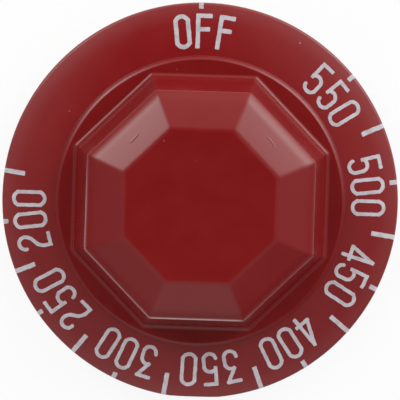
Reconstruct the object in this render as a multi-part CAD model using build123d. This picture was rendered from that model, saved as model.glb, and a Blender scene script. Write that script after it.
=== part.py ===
from build123d import *
import os
from math import atan2, cos, degrees, hypot, pi, radians, sin, tan

# Thermostat dial: a moulded body with an eight-sided grip, a stamped scale and a shaft spring.
# Millimetres. The back rim lies on Z = 0, +Z leaves the face, and one side of the grip faces +Y.

# Grip: drafted side faces under a faceted crown
grip_sides = 8
grip_across_flats = 36.0    # at its foot
grip_height = 10.65         # foot to shoulder
grip_draft = 10.1           # lean of a side face from upright, degrees
crown_height = 2.4          # shoulder to flat top
crown_run = 5.3             # shoulder to flat top, square to a side face
corner_radius = 1.0
shoulder_radius = 0.8
top_edge_radius = 3.0
foot_radius = 0.5
corner_share = 0.8          # most of the corner radius that the shoulder's rounding may take

# Plateau under the grip, and the skirt that carries the scale
ledge_width = 1.42          # grip corner to step
step_height = 0.8           # skirt to plateau
step_draft = 8.5            # degrees
step_radius = 0.25
bevel_width = 0.55          # sloping edge of the plateau
bevel_slope = 30.0          # degrees
round_share = 0.45          # most of a wall that the rounding or bevel at one end of it may take
skirt_width = 7.6           # step to rim
skirt_rise = 1.5            # rim to step
skirt_bow = 0.15            # swell of the skirt above its chord
rim_thickness = 3.7
rim_radius = 0.5
gate_flat_depth = 0.2       # trimmed moulding gate on the rim

# Hollow back
back_rim_width = 1.8
skirt_wall = 2.0
grip_wall = 2.4
roof_thickness = 3.4
rib_count = 4
rib_thickness = 1.6
rib_setback = 4.5           # back rim to rib edge

# Hub with its flat-sided shaft socket
shaft_diameter = 6.35
shaft_across_flat = 5.54
shaft_clearance = 0.05
shaft_depth = 12.0
hub_wall = 3.2
hub_setback = 1.2           # back rim to hub end

# Hairpin spring that bears on the shaft's flat
spring_thickness = 0.4
spring_width = 3.0
spring_web = 1.2            # hub wall between the two legs
spring_inner_leg = 9.0
spring_outer_leg = 6.0
spring_bow = 0.3            # reach of the inner leg into the socket
spring_bow_radius = 15.0
spring_gap = 0.05

# Stamped scale: the angles run clockwise from the OFF mark, in degrees
film_thickness = 0.06
pen_width = 0.6
label_width = 2.4
letter_gap = 0.7
label_rim_gap = 1.65        # rim to the tops of the characters
label_step_gap = 0.95       # step to their feet
tick_width = 0.68
short_tick = 0.95
long_tick = 3.25
film_edge_slope = 60.0      # how far the film wraps over the rounded rim, degrees
stamp_turn = 1.1            # turn of the stamp on the moulding, degrees, anticlockwise
stamp_shift_x = -0.2
stamp_shift_y = 0.08
label_angles = {
    "OFF": 1.1,
    "550": 51.0,
    "500": 84.4,
    "450": 115.4,
    "400": 146.6,
    "350": 175.4,
    "300": 204.4,
    "250": 233.8,
    "200": 262.7,
}
short_tick_angles = [0.0, 50.5, 84.0, 116.0, 146.5, 205.0, 234.0, 263.0]
long_tick_angles = [67.0, 100.0, 131.0, 161.5, 190.0, 219.5, 248.5, 278.0]

# Levels
same_level = 0.001
step_foot_z = rim_thickness + skirt_rise
plateau_z = step_foot_z + step_height
shoulder_z = plateau_z + grip_height
top_z = shoulder_z + crown_height
roof_z = top_z - roof_thickness

# Radii
grip_apothem = grip_across_flats / 2
shoulder_apothem = grip_apothem - grip_height * tan(radians(grip_draft))
top_apothem = shoulder_apothem - crown_run
step_top_radius = grip_apothem / cos(pi / grip_sides) + ledge_width
bevel_run = min(bevel_width, ledge_width * round_share)
bevel_drop = bevel_run * tan(radians(bevel_slope))
step_wall = step_height - bevel_drop
step_foot_radius = step_top_radius + step_wall * tan(radians(step_draft))
dial_radius = step_foot_radius + skirt_width
shaft_radius = shaft_diameter / 2
hub_radius = shaft_radius + shaft_clearance + hub_wall

# Rounding, limited by the walls beside it
shoulder_round = min(shoulder_radius, corner_radius * corner_share)
step_round = min(step_radius, step_wall * round_share)
foot_round = min(foot_radius, ledge_width * round_share)

# Characters
label_height = skirt_width - label_rim_gap - label_step_gap
label_radius = dial_radius - label_rim_gap - label_height / 2
letter_pitch = degrees((label_width + letter_gap) / label_radius)


def prism_face(apothem, level):
    """Eight-sided face with rounded corners, flats across X and Y, at a height."""
    outline = RegularPolygon(apothem, grip_sides, major_radius=False, rotation=180 / grip_sides)
    return Pos(0, 0, level) * fillet(outline.vertices(), corner_radius)


def edges_at(solid, level):
    """Edges of a solid that lie at one height."""
    return solid.edges().filter_by_position(Axis.Z, level - same_level, level + same_level)


def gate_trim():
    """Slice that leaves the small flat on the rim where the moulding gate was cut off."""
    slice_blank = Box(dial_radius, dial_radius, step_foot_z, align=(Align.CENTER, Align.MAX, Align.MIN))
    return Pos(0, gate_flat_depth - dial_radius, 0) * slice_blank


def skirt_blank():
    """Round blank below the grip: back face, rim, bowed skirt, bevelled step and plateau, turned about Z."""
    rim_top = (dial_radius, rim_thickness)
    step_foot = (step_foot_radius, step_foot_z)
    step_top = (step_top_radius, plateau_z - bevel_drop)
    plateau_edge = (step_top_radius - bevel_run, plateau_z)
    chord = hypot(skirt_width, skirt_rise)
    bow_x = skirt_bow * skirt_rise / chord
    bow_z = skirt_bow * skirt_width / chord
    mid = (dial_radius - skirt_width / 2 + bow_x, rim_thickness + skirt_rise / 2 + bow_z)
    outline = [
        Line((0, 0), (dial_radius, 0)),
        Line((dial_radius, 0), rim_top),
        ThreePointArc(rim_top, mid, step_foot),
        Line(step_foot, step_top),
        Line(step_top, plateau_edge),
        Line(plateau_edge, (0, plateau_z)),
        Line((0, plateau_z), (0, 0)),
    ]
    profile = make_face(outline)
    profile = fillet(profile.vertices().sort_by_distance(rim_top)[0], rim_radius)
    profile = fillet(profile.vertices().sort_by_distance(step_top)[0], step_round)
    return revolve(Plane.XZ * profile, Axis.Z) - gate_trim()


def grip_blank():
    """Eight-sided grip: drafted wall, faceted crown and flat top, with its edges rounded."""
    foot = prism_face(grip_apothem, plateau_z)
    shoulder = prism_face(shoulder_apothem, shoulder_z)
    top = prism_face(top_apothem, top_z)
    grip = loft([foot, shoulder], ruled=True) + loft([shoulder, top], ruled=True)
    grip = fillet(edges_at(grip, top_z), top_edge_radius)
    return fillet(edges_at(grip, shoulder_z), shoulder_round)


def cavity_apothem(level):
    """Inner wall of the grip at a height, parallel to its outer face."""
    return grip_apothem - grip_wall - (level - plateau_z) * tan(radians(grip_draft))


def hub_post():
    """Solid post that the shaft socket is cut into."""
    align = (Align.CENTER, Align.CENTER, Align.MIN)
    return Pos(0, 0, hub_setback) * Cylinder(hub_radius, roof_z - hub_setback, align=align)


def ribs():
    """Upright ribs from the hub to the grip wall, between the flats that face X and Y."""
    align = (Align.MIN, Align.CENTER, Align.MIN)
    blank = Pos(0, 0, rib_setback) * Box(dial_radius, rib_thickness, roof_z - rib_setback, align=align)
    step = 360 / rib_count
    return Part() + [Rot(0, 0, step * (i + 0.5)) * blank for i in range(rib_count)]


def hollow():
    """Space behind the face: a shallow recess under the skirt and the cavity in the grip."""
    rim_inside = dial_radius - back_rim_width
    under_rim = rim_thickness - skirt_wall
    under_step = step_foot_z - skirt_wall
    outline = Polyline(
        (0, 0),
        (rim_inside, 0),
        (rim_inside, under_rim),
        (step_foot_radius, under_step),
        (0, under_step),
        close=True,
    )
    recess = revolve(Plane.XZ * make_face(outline), Axis.Z)
    mouth = prism_face(cavity_apothem(under_step), under_step)
    roof = prism_face(cavity_apothem(roof_z), roof_z)
    return recess + loft([mouth, roof], ruled=True) - hub_post() - ribs()


def shaft_socket():
    """Round socket with one flat, open at the hub's end."""
    align = (Align.CENTER, Align.CENTER, Align.MIN)
    bore = Cylinder(shaft_radius + shaft_clearance, shaft_depth, align=align)
    flat_y = shaft_across_flat - shaft_radius + shaft_clearance
    beyond = Box(hub_radius * 2, hub_radius, shaft_depth, align=(Align.CENTER, Align.MIN, Align.MIN))
    return Pos(0, 0, hub_setback) * (bore - Pos(0, flat_y, 0) * beyond)


def spring_strip(thickness, width):
    """Hairpin strip around the hub wall at the flat: bowed inner leg, bridge and outer leg."""
    inner_y = shaft_across_flat - shaft_radius + shaft_clearance + spring_thickness / 2
    outer_y = inner_y + spring_thickness + spring_web
    bridge_z = hub_setback + spring_thickness / 2
    inner_z = hub_setback + spring_inner_leg
    path = FilletPolyline(
        (inner_y, inner_z),
        (inner_y - spring_bow, (inner_z + bridge_z) / 2),
        (inner_y, bridge_z),
        (outer_y, bridge_z),
        (outer_y, hub_setback + spring_outer_leg),
        radius=[spring_bow_radius, spring_thickness, spring_thickness],
    )
    section = Plane.YZ * SlotArc(path, thickness)
    return extrude(section, amount=width / 2, both=True)


def dial_body(blank):
    """The one moulded piece."""
    body = blank + grip_blank()
    foot = edges_at(body, plateau_z).filter_by(GeomType.LINE)
    body = fillet(foot, foot_round)
    spring_pocket = spring_strip(spring_thickness + 2 * spring_gap, spring_width + 2 * spring_gap)
    return body - hollow() - shaft_socket() - spring_pocket


def stroke(start, end):
    """Straight pen stroke with round ends."""
    run_x = end[0] - start[0]
    run_y = end[1] - start[1]
    turn = degrees(atan2(run_y, run_x))
    middle = Pos(start[0] + run_x / 2, start[1] + run_y / 2)
    return middle * SlotCenterToCenter(hypot(run_x, run_y), pen_width, rotation=turn)


def bend(start, through, end):
    """Curved pen stroke with round ends."""
    return SlotArc(ThreePointArc(start, through, end), pen_width)


def character(sign):
    """One character of the scale, its pen strokes placed as shares of the character's box."""
    across = label_width - pen_width
    upward = label_height - pen_width

    def at(u, v):
        return ((u - 0.5) * across, (v - 0.5) * upward)

    strokes = {
        "0": [
            bend(at(0, 0.85), at(0.5, 1), at(1, 0.85)),
            stroke(at(1, 0.85), at(1, 0.15)),
            bend(at(1, 0.15), at(0.5, 0), at(0, 0.15)),
            stroke(at(0, 0.15), at(0, 0.85)),
        ],
        "2": [
            bend(at(0, 0.79), at(0.48, 1), at(0.95, 0.8)),
            bend(at(0.95, 0.8), at(0.86, 0.66), at(0.6, 0.54)),
            stroke(at(0.6, 0.54), at(0.25, 0.42)),
            bend(at(0.25, 0.42), at(0.06, 0.29), at(0, 0.12)),
            stroke(at(0, 0.12), at(0, 0)),
            stroke(at(0, 0), at(0.85, 0)),
        ],
        "3": [
            stroke(at(0, 1), at(0.92, 1)),
            stroke(at(0.92, 1), at(0.3, 0.57)),
            bend(at(0.3, 0.57), at(0.72, 0.55), at(0.95, 0.42)),
            stroke(at(0.95, 0.42), at(0.95, 0.17)),
            bend(at(0.95, 0.17), at(0.45, 0), at(0, 0.2)),
        ],
        "4": [
            stroke(at(0.77, 1), at(0.77, 0)),
            stroke(at(0.77, 1), at(0, 0.23)),
            stroke(at(0, 0.23), at(1, 0.23)),
        ],
        "5": [
            stroke(at(0.07, 1), at(0.92, 1)),
            stroke(at(0.07, 1), at(0.07, 0.47)),
            bend(at(0.07, 0.5), at(0.58, 0.585), at(0.95, 0.42)),
            stroke(at(0.95, 0.42), at(0.95, 0.16)),
            bend(at(0.95, 0.16), at(0.48, 0), at(0.03, 0.15)),
        ],
        "F": [
            stroke(at(0, 0), at(0, 1)),
            stroke(at(0, 1), at(0.97, 1)),
            stroke(at(0, 0.56), at(0.8, 0.56)),
        ],
    }
    strokes["O"] = strokes["0"]
    return Sketch() + strokes[sign]


def film_skin(blank):
    """Thin skin over the skirt that the stamped marks are cut from."""
    wrap = rim_radius * (1 - sin(radians(film_edge_slope)))
    limit = Cylinder(dial_radius - wrap, top_z, align=(Align.CENTER, Align.CENTER, Align.MIN))
    return (Pos(0, 0, film_thickness) * blank - blank) & limit


def stamped(mark, angle, skin):
    """Film of one mark, set at its angle on the stamp."""
    stamp = Pos(stamp_shift_x, stamp_shift_y, 0) * Rot(0, 0, stamp_turn - angle)
    return extrude(stamp * mark, amount=top_z) & skin


def word(text, angle, characters, skin):
    """Films of the characters of one label, spread evenly about its angle."""
    films = []
    for i, sign in enumerate(text):
        turn = angle + (i - (len(text) - 1) / 2) * letter_pitch
        films.append(stamped(Pos(0, label_radius, 0) * characters[sign], turn, skin))
    return films


def tick(length):
    """Tick mark with a round inner end, long enough to pass the rim."""
    inner = dial_radius - length + tick_width / 2
    outer = dial_radius + tick_width
    return Pos(0, (inner + outer) / 2) * SlotCenterToCenter(outer - inner, tick_width, rotation=90)


blank = skirt_blank()
skin = film_skin(blank)
characters = {sign: character(sign) for sign in "02345FO"}

off_films = word("OFF", label_angles["OFF"], characters, skin)
numbers = []
for text, angle in label_angles.items():
    if text.isdigit():
        numbers += word(text, angle, characters, skin)
ticks = [stamped(tick(short_tick), angle, skin) for angle in short_tick_angles]
ticks += [stamped(tick(long_tick), angle, skin) for angle in long_tick_angles]

nodes = {
    "dial_body": dial_body(blank),
    "shaft_spring": spring_strip(spring_thickness, spring_width),
    "off_label": Compound(off_films),
    "temperature_numbers": Compound(numbers),
    "tick_marks": Compound(ticks),
}

os.makedirs("parts", exist_ok=True)
for name, shape in nodes.items():
    export_step(shape, f"parts/{name}.step")
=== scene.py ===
import logging
from dataclasses import dataclass
from enum import Enum, IntEnum
from math import atan2, cos, pi, radians, sin, tan

import bpy
import numpy as np
from mathutils import Matrix, Vector


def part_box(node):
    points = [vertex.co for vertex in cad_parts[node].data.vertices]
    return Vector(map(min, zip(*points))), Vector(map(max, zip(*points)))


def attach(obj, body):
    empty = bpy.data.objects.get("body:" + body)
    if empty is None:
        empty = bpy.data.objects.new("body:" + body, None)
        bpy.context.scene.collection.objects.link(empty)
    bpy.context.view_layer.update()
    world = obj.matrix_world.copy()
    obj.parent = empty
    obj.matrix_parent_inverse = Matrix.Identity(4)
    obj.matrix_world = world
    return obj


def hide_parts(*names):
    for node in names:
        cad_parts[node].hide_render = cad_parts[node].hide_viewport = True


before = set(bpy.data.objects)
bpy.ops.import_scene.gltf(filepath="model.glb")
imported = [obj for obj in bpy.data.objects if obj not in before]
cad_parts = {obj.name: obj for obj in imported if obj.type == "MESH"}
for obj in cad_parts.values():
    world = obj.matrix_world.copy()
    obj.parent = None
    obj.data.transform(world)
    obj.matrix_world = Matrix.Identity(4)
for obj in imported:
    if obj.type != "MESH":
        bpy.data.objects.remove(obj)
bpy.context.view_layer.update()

# Thermostat dial: a red moulded body with an eight-sided grip, a stamped white scale and a shaft spring.
# Sizes in the classes are millimetres and angles are degrees. MM turns them into the frame's metres.

MM = 0.001
SAME_PLACE = 1e-5
BODY = "root"
IMAGE_SIDE = 400
NOISE_SPAN = (0.3, 0.7)
Points = np.ndarray
Pair = tuple[Points, Points]
Colour = tuple[float, float, float]
Socket = bpy.types.NodeSocket
log = logging.getLogger("thermostat_dial")


class Tick(Enum):
    """The two kinds of tick mark, by how far each reaches in from the rim."""

    SHORT = 0.95
    LONG = 3.25


class Corner(IntEnum):
    """Corners of the body's outline in a plane through its axis, from the middle of the top to the roof's."""

    TOP = 0
    TOP_EDGE = 1
    SHOULDER_UPPER = 2
    SHOULDER_LOWER = 3
    FOOT = 4
    PLATEAU_EDGE = 5
    STEP_TOP = 6
    STEP_FOOT = 7
    SKIRT = 8
    RIM = 9
    BACK_OUTER = 10
    BACK_INNER = 11
    RECESS = 12
    UNDER_STEP = 13
    MOUTH = 14
    ROOF_EDGE = 15
    ROOF = 16


class Slot(Enum):
    """The record's material slots."""

    MOULDED = "moulded_body"
    STEEL = "spring_steel"
    FILM = "stamp_film"


def unit(vector: Points) -> Points:
    """Vectors of length one along the last axis."""
    return vector / np.linalg.norm(vector, axis=-1, keepdims=True)


def rounded_path(corners: list[tuple[float, float]], radii: list[float], steps: list[int],
                 run_shares: tuple[float, ...] = (0.06, 0.25, 0.5, 0.75, 0.94)) -> Pair:
    """Planar path whose inner corners are replaced by tangent arcs.

    An arc of radius q at a corner of angle w starts q / tan(w / 2) before the corner, and its centre lies
    q / sin(w / 2) along the bisector. Points turn evenly about that centre.

    Args:
        corners: corner points, with the two ends.
        radii: arc radius at each inner corner.
        steps: number of arc points at each inner corner.
        run_shares: places of the extra points on each straight run.

    Returns:
        The path's points, and each point's station: i on corner i, i + share on the run after it.
    """
    nodes = np.asarray(corners, float)
    arcs = [nodes[:1]]
    for before, corner, after, radius, count in zip(nodes, nodes[1:], nodes[2:], radii, steps):
        back = unit(before - corner)
        onward = unit(after - corner)
        angle = np.arccos(np.clip(back @ onward, -1, 1))
        reach = radius / tan(angle / 2)
        centre = corner + unit(back + onward) * radius / sin(angle / 2)
        turn = pi - angle
        share = np.linspace(0, 1, count)[:, None]
        from_start = np.sin((1 - share) * turn) * (corner + back * reach - centre)
        from_end = np.sin(share * turn) * (corner + onward * reach - centre)
        arcs.append(centre + (from_start + from_end) / sin(turn))
    arcs.append(nodes[-1:])
    points, stations = [arcs[0]], [np.zeros(1)]
    shares = np.asarray(run_shares)
    for i, (last, arc) in enumerate(zip(arcs, arcs[1:])):
        points += [last[-1] + (arc[0] - last[-1]) * shares[:, None], arc]
        stations += [i + shares, np.full(len(arc), i + 1.0)]
    path, station = np.concatenate(points), np.concatenate(stations)
    apart = np.linalg.norm(np.diff(path, axis=0), axis=1) > SAME_PLACE
    keep = np.concatenate([[True], apart])
    return path[keep], station[keep]


def grid_quads(rows: int, columns: int) -> Points:
    """Corner numbers of the quads of a grid of points, row by row, with the columns joined into a ring."""
    row = np.arange(rows - 1)[:, None] * columns
    column = np.arange(columns)[None, :]
    after = (column + 1) % columns
    quads = np.stack([row + column, row + columns + column, row + columns + after, row + after], -1)
    return quads.reshape(-1, 4)


def new_mesh(name: str, points: Points, *face_sets: Points) -> bpy.types.Mesh:
    """Smooth-shaded mesh from points in millimetres and arrays of faces, one array for each face size."""
    mesh = bpy.data.meshes.new(name)
    mesh.vertices.add(len(points))
    mesh.vertices.foreach_set("co", (points * MM).astype(np.float32).ravel())
    corners = np.concatenate([faces.ravel() for faces in face_sets]).astype(np.int32)
    counts = np.concatenate([np.full(len(faces), faces.shape[1]) for faces in face_sets])
    starts = np.concatenate([[0], np.cumsum(counts)[:-1]]).astype(np.int32)
    mesh.loops.add(len(corners))
    mesh.loops.foreach_set("vertex_index", corners)
    mesh.polygons.add(len(counts))
    mesh.polygons.foreach_set("loop_start", starts)
    mesh.polygons.foreach_set("use_smooth", np.ones(len(counts), bool))
    mesh.update(calc_edges=True)
    mesh.validate()
    return mesh


def new_object(name: str, mesh: bpy.types.Mesh) -> bpy.types.Object:
    """Object at the origin that shows a mesh."""
    piece = bpy.data.objects.new(name, mesh)
    bpy.context.scene.collection.objects.link(piece)
    return piece


def mesh_of_rings(name: str, rings: Points, first_pole: Points, last_pole: Points) -> bpy.types.Mesh:
    """Closed mesh from rows of points joined into rings, with one pole point at each end."""
    rows, columns = rings.shape[:2]
    column = np.arange(columns)
    after = (column + 1) % columns
    first = rows * columns
    last_row = (rows - 1) * columns
    first_fan = np.stack([np.full(columns, first), column, after], -1)
    last_fan = np.stack([last_row + column, np.full(columns, first + 1), last_row + after], -1)
    points = np.concatenate([rings.reshape(-1, 3), [first_pole], [last_pole]])
    return new_mesh(name, points, grid_quads(rows, columns), np.concatenate([first_fan, last_fan]))


@dataclass(frozen=True)
class DialSizes:
    """Sizes of the moulded body. The radius and the height come from the frame."""

    dial_radius: float
    top_level: float
    sides: int = 8
    grip_apothem: float = 17.92
    shoulder_apothem: float = 16.18
    top_apothem: float = 10.86
    plateau_radius: float = 20.45
    step_top_radius: float = 20.87
    step_foot_radius: float = 20.94
    rim_level: float = 3.7
    step_foot_level: float = 5.2
    step_top_level: float = 5.75
    plateau_level: float = 6.0
    shoulder_level: float = 16.65
    top_edge_radius: float = 2.2
    shoulder_soft_radius: float = 5.0
    shoulder_tight_radius: float = 0.4
    shoulder_slope: float = 45.0
    foot_radius: float = 0.7
    plateau_edge_radius: float = 0.15
    step_radius: float = 0.25
    rim_radius: float = 0.5
    step_foot_round: float = 0.12
    back_outer_round: float = 0.25
    back_inner_round: float = 0.15
    recess_round: float = 0.4
    under_step_round: float = 2.0
    mouth_round: float = 0.4
    roof_round: float = 0.8
    skirt_bow: float = 0.15
    skirt_arc_share: float = 0.87
    gate_flat_depth: float = 0.2
    back_rim_width: float = 1.8
    skirt_wall: float = 2.0
    grip_wall: float = 2.4
    roof_thickness: float = 3.4
    hub_radius: float = 6.425
    hub_setback: float = 1.2
    rib_count: int = 4
    rib_thickness: float = 1.6
    rib_setback: float = 4.5
    socket_radius: float = 3.225
    socket_flat: float = 2.415
    socket_depth: float = 12.0
    socket_overcut: float = 1.0
    socket_lead: float = 0.3
    socket_flare: float = 1.35
    hub_root_round: float = 0.1
    hub_end_round: float = 0.35
    rib_round: float = 0.4

    @property
    def under_step(self) -> float:
        """Level of the underside below the plateau."""
        return self.step_foot_level - self.skirt_wall

    @property
    def roof_level(self) -> float:
        """Level of the cavity's roof."""
        return self.top_level - self.roof_thickness

    @property
    def root_level(self) -> float:
        """Level inside the roof at which the hub and the ribs begin."""
        return self.roof_level + self.roof_thickness / 4

    def cavity_apothem(self, level: float) -> float:
        """Inner wall of the grip at a level, parallel to the outer wall."""
        lean = (self.grip_apothem - self.shoulder_apothem) / (self.shoulder_level - self.plateau_level)
        return self.grip_apothem - self.grip_wall - (level - self.plateau_level) * lean

    def shoulder(self) -> Pair:
        """Two corners that stand for the grip's shoulder, so that it rounds softly above and tightly below.

        A line at the middle slope cuts off the sharp corner. Its length is the sum of the two arcs' tangents,
        r tan(turn / 2), and the law of sines gives where it meets the facet and the wall.
        """
        top = np.array([self.top_apothem, self.top_level])
        sharp = np.array([self.shoulder_apothem, self.shoulder_level])
        foot = np.array([self.grip_apothem, self.plateau_level])
        facet, wall = unit(sharp - top), unit(foot - sharp)
        upper_turn = radians(self.shoulder_slope) - atan2(-facet[1], facet[0])
        lower_turn = atan2(-wall[1], wall[0]) - radians(self.shoulder_slope)
        soft = self.shoulder_soft_radius * tan(upper_turn / 2)
        length = soft + self.shoulder_tight_radius * tan(lower_turn / 2)
        share = length / sin(upper_turn + lower_turn)
        return sharp - facet * share * sin(lower_turn), sharp + wall * share * sin(upper_turn)

    def skirt_corner(self) -> tuple[Points, float]:
        """Where the tangents at the ends of the skirt's arc meet, and the arc's radius."""
        foot = np.array([self.step_foot_radius, self.step_foot_level])
        rim = np.array([self.dial_radius, self.rim_level])
        half = np.hypot(*(rim - foot)) / 2
        radius = (half**2 + self.skirt_bow**2) / (2 * self.skirt_bow)
        along = unit(rim - foot)
        upward = np.array([-along[1], along[0]])
        return (foot + rim) / 2 + upward * half * tan(np.arcsin(half / radius)), radius

    def meridian(self) -> Pair:
        """The body's outline in a plane through its axis, and each point's station.

        Each row of the table is a corner's place, its rounding radius and its number of arc points.
        """
        upper, lower = self.shoulder()
        skirt, bow_radius = self.skirt_corner()
        rim_inside = self.dial_radius - self.back_rim_width
        mouth = self.cavity_apothem(self.under_step)
        roof = self.cavity_apothem(self.roof_level)
        corners = {
            Corner.TOP: ((0, self.top_level), 0, 0),
            Corner.TOP_EDGE: ((self.top_apothem, self.top_level), self.top_edge_radius, 10),
            Corner.SHOULDER_UPPER: (tuple(upper), self.shoulder_soft_radius, 12),
            Corner.SHOULDER_LOWER: (tuple(lower), self.shoulder_tight_radius, 14),
            Corner.FOOT: ((self.grip_apothem, self.plateau_level), self.foot_radius, 8),
            Corner.PLATEAU_EDGE: ((self.plateau_radius, self.plateau_level), self.plateau_edge_radius, 5),
            Corner.STEP_TOP: ((self.step_top_radius, self.step_top_level), self.step_radius, 7),
            Corner.STEP_FOOT: ((self.step_foot_radius, self.step_foot_level), self.step_foot_round, 4),
            Corner.SKIRT: (tuple(skirt), bow_radius * self.skirt_arc_share, 22),
            Corner.RIM: ((self.dial_radius, self.rim_level), self.rim_radius, 14),
            Corner.BACK_OUTER: ((self.dial_radius, 0), self.back_outer_round, 5),
            Corner.BACK_INNER: ((rim_inside, 0), self.back_inner_round, 4),
            Corner.RECESS: ((rim_inside, self.rim_level - self.skirt_wall), self.recess_round, 5),
            Corner.UNDER_STEP: ((self.step_foot_radius, self.under_step), self.under_step_round, 4),
            Corner.MOUTH: ((mouth, self.under_step), self.mouth_round, 5),
            Corner.ROOF_EDGE: ((roof, self.roof_level), self.roof_round, 6),
            Corner.ROOF: ((0, self.roof_level), 0, 0),
        }
        places, radii, steps = zip(*(corners[corner] for corner in Corner))
        return rounded_path(list(places), list(radii[1:-1]), list(steps[1:-1]))

    def skirt_profile(self) -> Pair:
        """Radius and level of the skirt's upper face from the step out over the rounded rim."""
        path, station = self.meridian()
        on_skirt = (station > Corner.STEP_FOOT) & (station < Corner.RIM + 0.5)
        return path[on_skirt, 0], path[on_skirt, 1]


def octagon_radius(angles: Points, apothem: Points, corner: Points, sides: int) -> Points:
    """Distance from the axis to a regular polygon with rounded corners.

    With p the angle from the nearest flat's middle, a flat is apothem / cos p. Near a corner, with q the
    angle from the corner's direction, the arc about its centre at distance c is
    c cos q + sqrt(corner^2 - (c sin q)^2).

    Args:
        angles: direction of each column, in radians.
        apothem: distance of the flats, one for each row.
        corner: radius of the corners, one for each row.
        sides: number of sides.

    Returns:
        The distances, rows by columns.
    """
    half = pi / sides
    from_flat = np.abs((angles + half) % (2 * half) - half)[None, :]
    from_corner = half - from_flat
    flats, corners = apothem[:, None], corner[:, None]
    centre = (flats - corners) / cos(half)
    square = corners**2 - (centre * np.sin(from_corner)) ** 2
    arc = centre * np.cos(from_corner) + np.sqrt(np.maximum(square, 0))
    on_corner = from_flat > np.arctan2((flats - corners) * tan(half), flats)
    return np.where(on_corner, arc, flats / np.cos(from_flat))


@dataclass(frozen=True)
class NodeBench:
    """Adds nodes to one node tree and links them."""

    tree: bpy.types.NodeTree

    def add(self, kind: str, inputs: dict[str | int, object] | None = None,
            **settings: object) -> bpy.types.Node:
        """New node.

        Args:
            kind: the node's type name, without its ShaderNode prefix.
            inputs: value or output socket for each named or numbered input.
            settings: values of the node's own properties.

        Returns:
            The node.
        """
        node = self.tree.nodes.new(kind if kind.startswith("Node") else f"ShaderNode{kind}")
        for name, value in settings.items():
            setattr(node, name, value)
        for key, value in (inputs or {}).items():
            if isinstance(value, Socket):
                self.tree.links.new(value, node.inputs[key])
            else:
                node.inputs[key].default_value = value
        return node

    def math(self, operation: str, *values: object) -> Socket:
        """Output of a math node."""
        return self.add("Math", dict(enumerate(values)), operation=operation).outputs[0]

    def vector(self, operation: str, *values: object) -> Socket:
        """Output of a vector math node, its value output for lengths and dot products."""
        node = self.add("VectorMath", dict(enumerate(values)), operation=operation)
        return node.outputs["Value" if operation in ("LENGTH", "DOT_PRODUCT") else "Vector"]

    def ramp(self, value: object, low: float, high: float, from_low: float, from_high: float) -> Socket:
        """Output of a smooth map from one range of values to another."""
        inputs = {"Value": value, 1: low, 2: high, 3: from_low, 4: from_high}
        return self.add("MapRange", inputs, interpolation_type="SMOOTHSTEP").outputs[0]

    def mix(self, share: Socket, first: Socket | Colour, second: Colour, blend: str = "MIX") -> Socket:
        """Output of a colour mix."""
        start = (*first, 1) if isinstance(first, tuple) else first
        inputs = {0: share, 6: start, 7: (*second, 1)}
        return self.add("Mix", inputs, data_type="RGBA", blend_type=blend).outputs[2]

    def part(self, place: Socket, axis: str) -> Socket:
        """One coordinate of a place."""
        return self.add("SeparateXYZ", {0: place}).outputs[axis]

    def in_plane(self, place: Socket) -> Socket:
        """A place without its level."""
        return self.vector("MULTIPLY", place, (1, 1, 0))

    def surface(self, shader: bpy.types.Node, colour: Socket, roughness: Socket, height: Socket) -> None:
        """Links a colour, a roughness and a height in millimetres to a Principled BSDF."""
        bump = self.add("Bump", {"Height": height, "Distance": MM, "Strength": 1.0}).outputs[0]
        for name, value in (("Base Color", colour), ("Roughness", roughness), ("Normal", bump)):
            self.tree.links.new(value, shader.inputs[name])


class MottleGroup:
    """Shader node group: uneven tone and fine grain of a moulded or printed surface."""

    NAME = "surface_mottle"

    def __init__(self) -> None:
        """Builds the group: broad and fine noise in, a tone from 0 to 1 and a grain height out."""
        self.tree = bpy.data.node_groups.new(self.NAME, "ShaderNodeTree")
        sockets = self.tree.interface
        for name, default in (("Tone Scale", 200.0), ("Grain Scale", 3000.0), ("Detail", 3.0)):
            sockets.new_socket(name, in_out="INPUT", socket_type="NodeSocketFloat").default_value = default
        for name in ("Tone", "Grain"):
            sockets.new_socket(name, in_out="OUTPUT", socket_type="NodeSocketFloat")
        bench = NodeBench(self.tree)
        given = bench.add("NodeGroupInput").outputs
        place = bench.add("TexCoord").outputs["Object"]
        tone = bench.add("TexNoise", {"Vector": place, "Scale": given["Tone Scale"],
                                      "Detail": given["Detail"]})
        grain = bench.add("TexNoise", {"Vector": place, "Scale": given["Grain Scale"], "Detail": 2.0})
        bench.add("NodeGroupOutput", {"Tone": tone.outputs[0], "Grain": grain.outputs[0]})

    def place(self, bench: NodeBench, **inputs: float) -> bpy.types.NodeOutputs:
        """Adds the group to a material, with its inputs by name, and gives its outputs."""
        node = bench.add("Group", node_tree=self.tree)
        for name, value in inputs.items():
            node.inputs[name.replace("_", " ").title()].default_value = value
        return node.outputs


def above(bench: NodeBench, place: Socket, level: float) -> Socket:
    """Mask of the surface that lies above a level."""
    return bench.math("GREATER_THAN", bench.part(place, "Z"), level * MM)


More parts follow.
